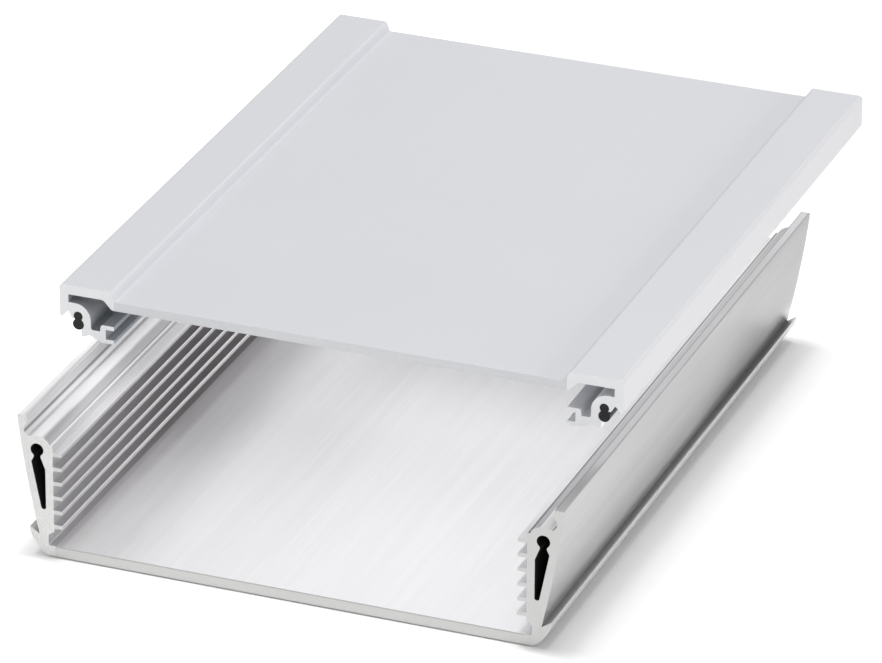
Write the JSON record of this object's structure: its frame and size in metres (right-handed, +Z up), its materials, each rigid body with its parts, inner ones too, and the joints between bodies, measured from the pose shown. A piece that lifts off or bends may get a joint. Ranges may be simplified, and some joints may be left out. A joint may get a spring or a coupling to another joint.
{
  "type": "aluminum profile enclosure",
  "caption": "Extruded aluminum enclosure for circuit boards: a wide channel with ribbed side walls and screw channels, and a lift-off cover with two seal strips.",
  "frame": {"origin": "middle of the lower profile's flat underside, half way along its length", "axes": "+Z up, Y along the extrusions with +Y towards the end that the cover is shifted to, X across the width"},
  "size_m": [0.1208, 0.1767, 0.047],
  "materials": {
    "channel_aluminium": "mill finish with fine drawing lines along the extrusion",
    "cover_aluminium": "matte, finely etched and clear anodised",
    "seal_rubber": "black, satin"
  },
  "bodies": {
    "lower": {"lower_profile": "channel_aluminium"},
    "cover": {"cover_profile": "cover_aluminium", "seal_strip_left": "seal_rubber", "seal_strip_right": "seal_rubber"}
  },
  "joints": [
    {"name": "cover_lift", "type": "slide", "parent": "lower", "child": "cover", "axis": [0, 0.9682, 0.2502], "range_m": [-0.02758, 0]}
  ]
}
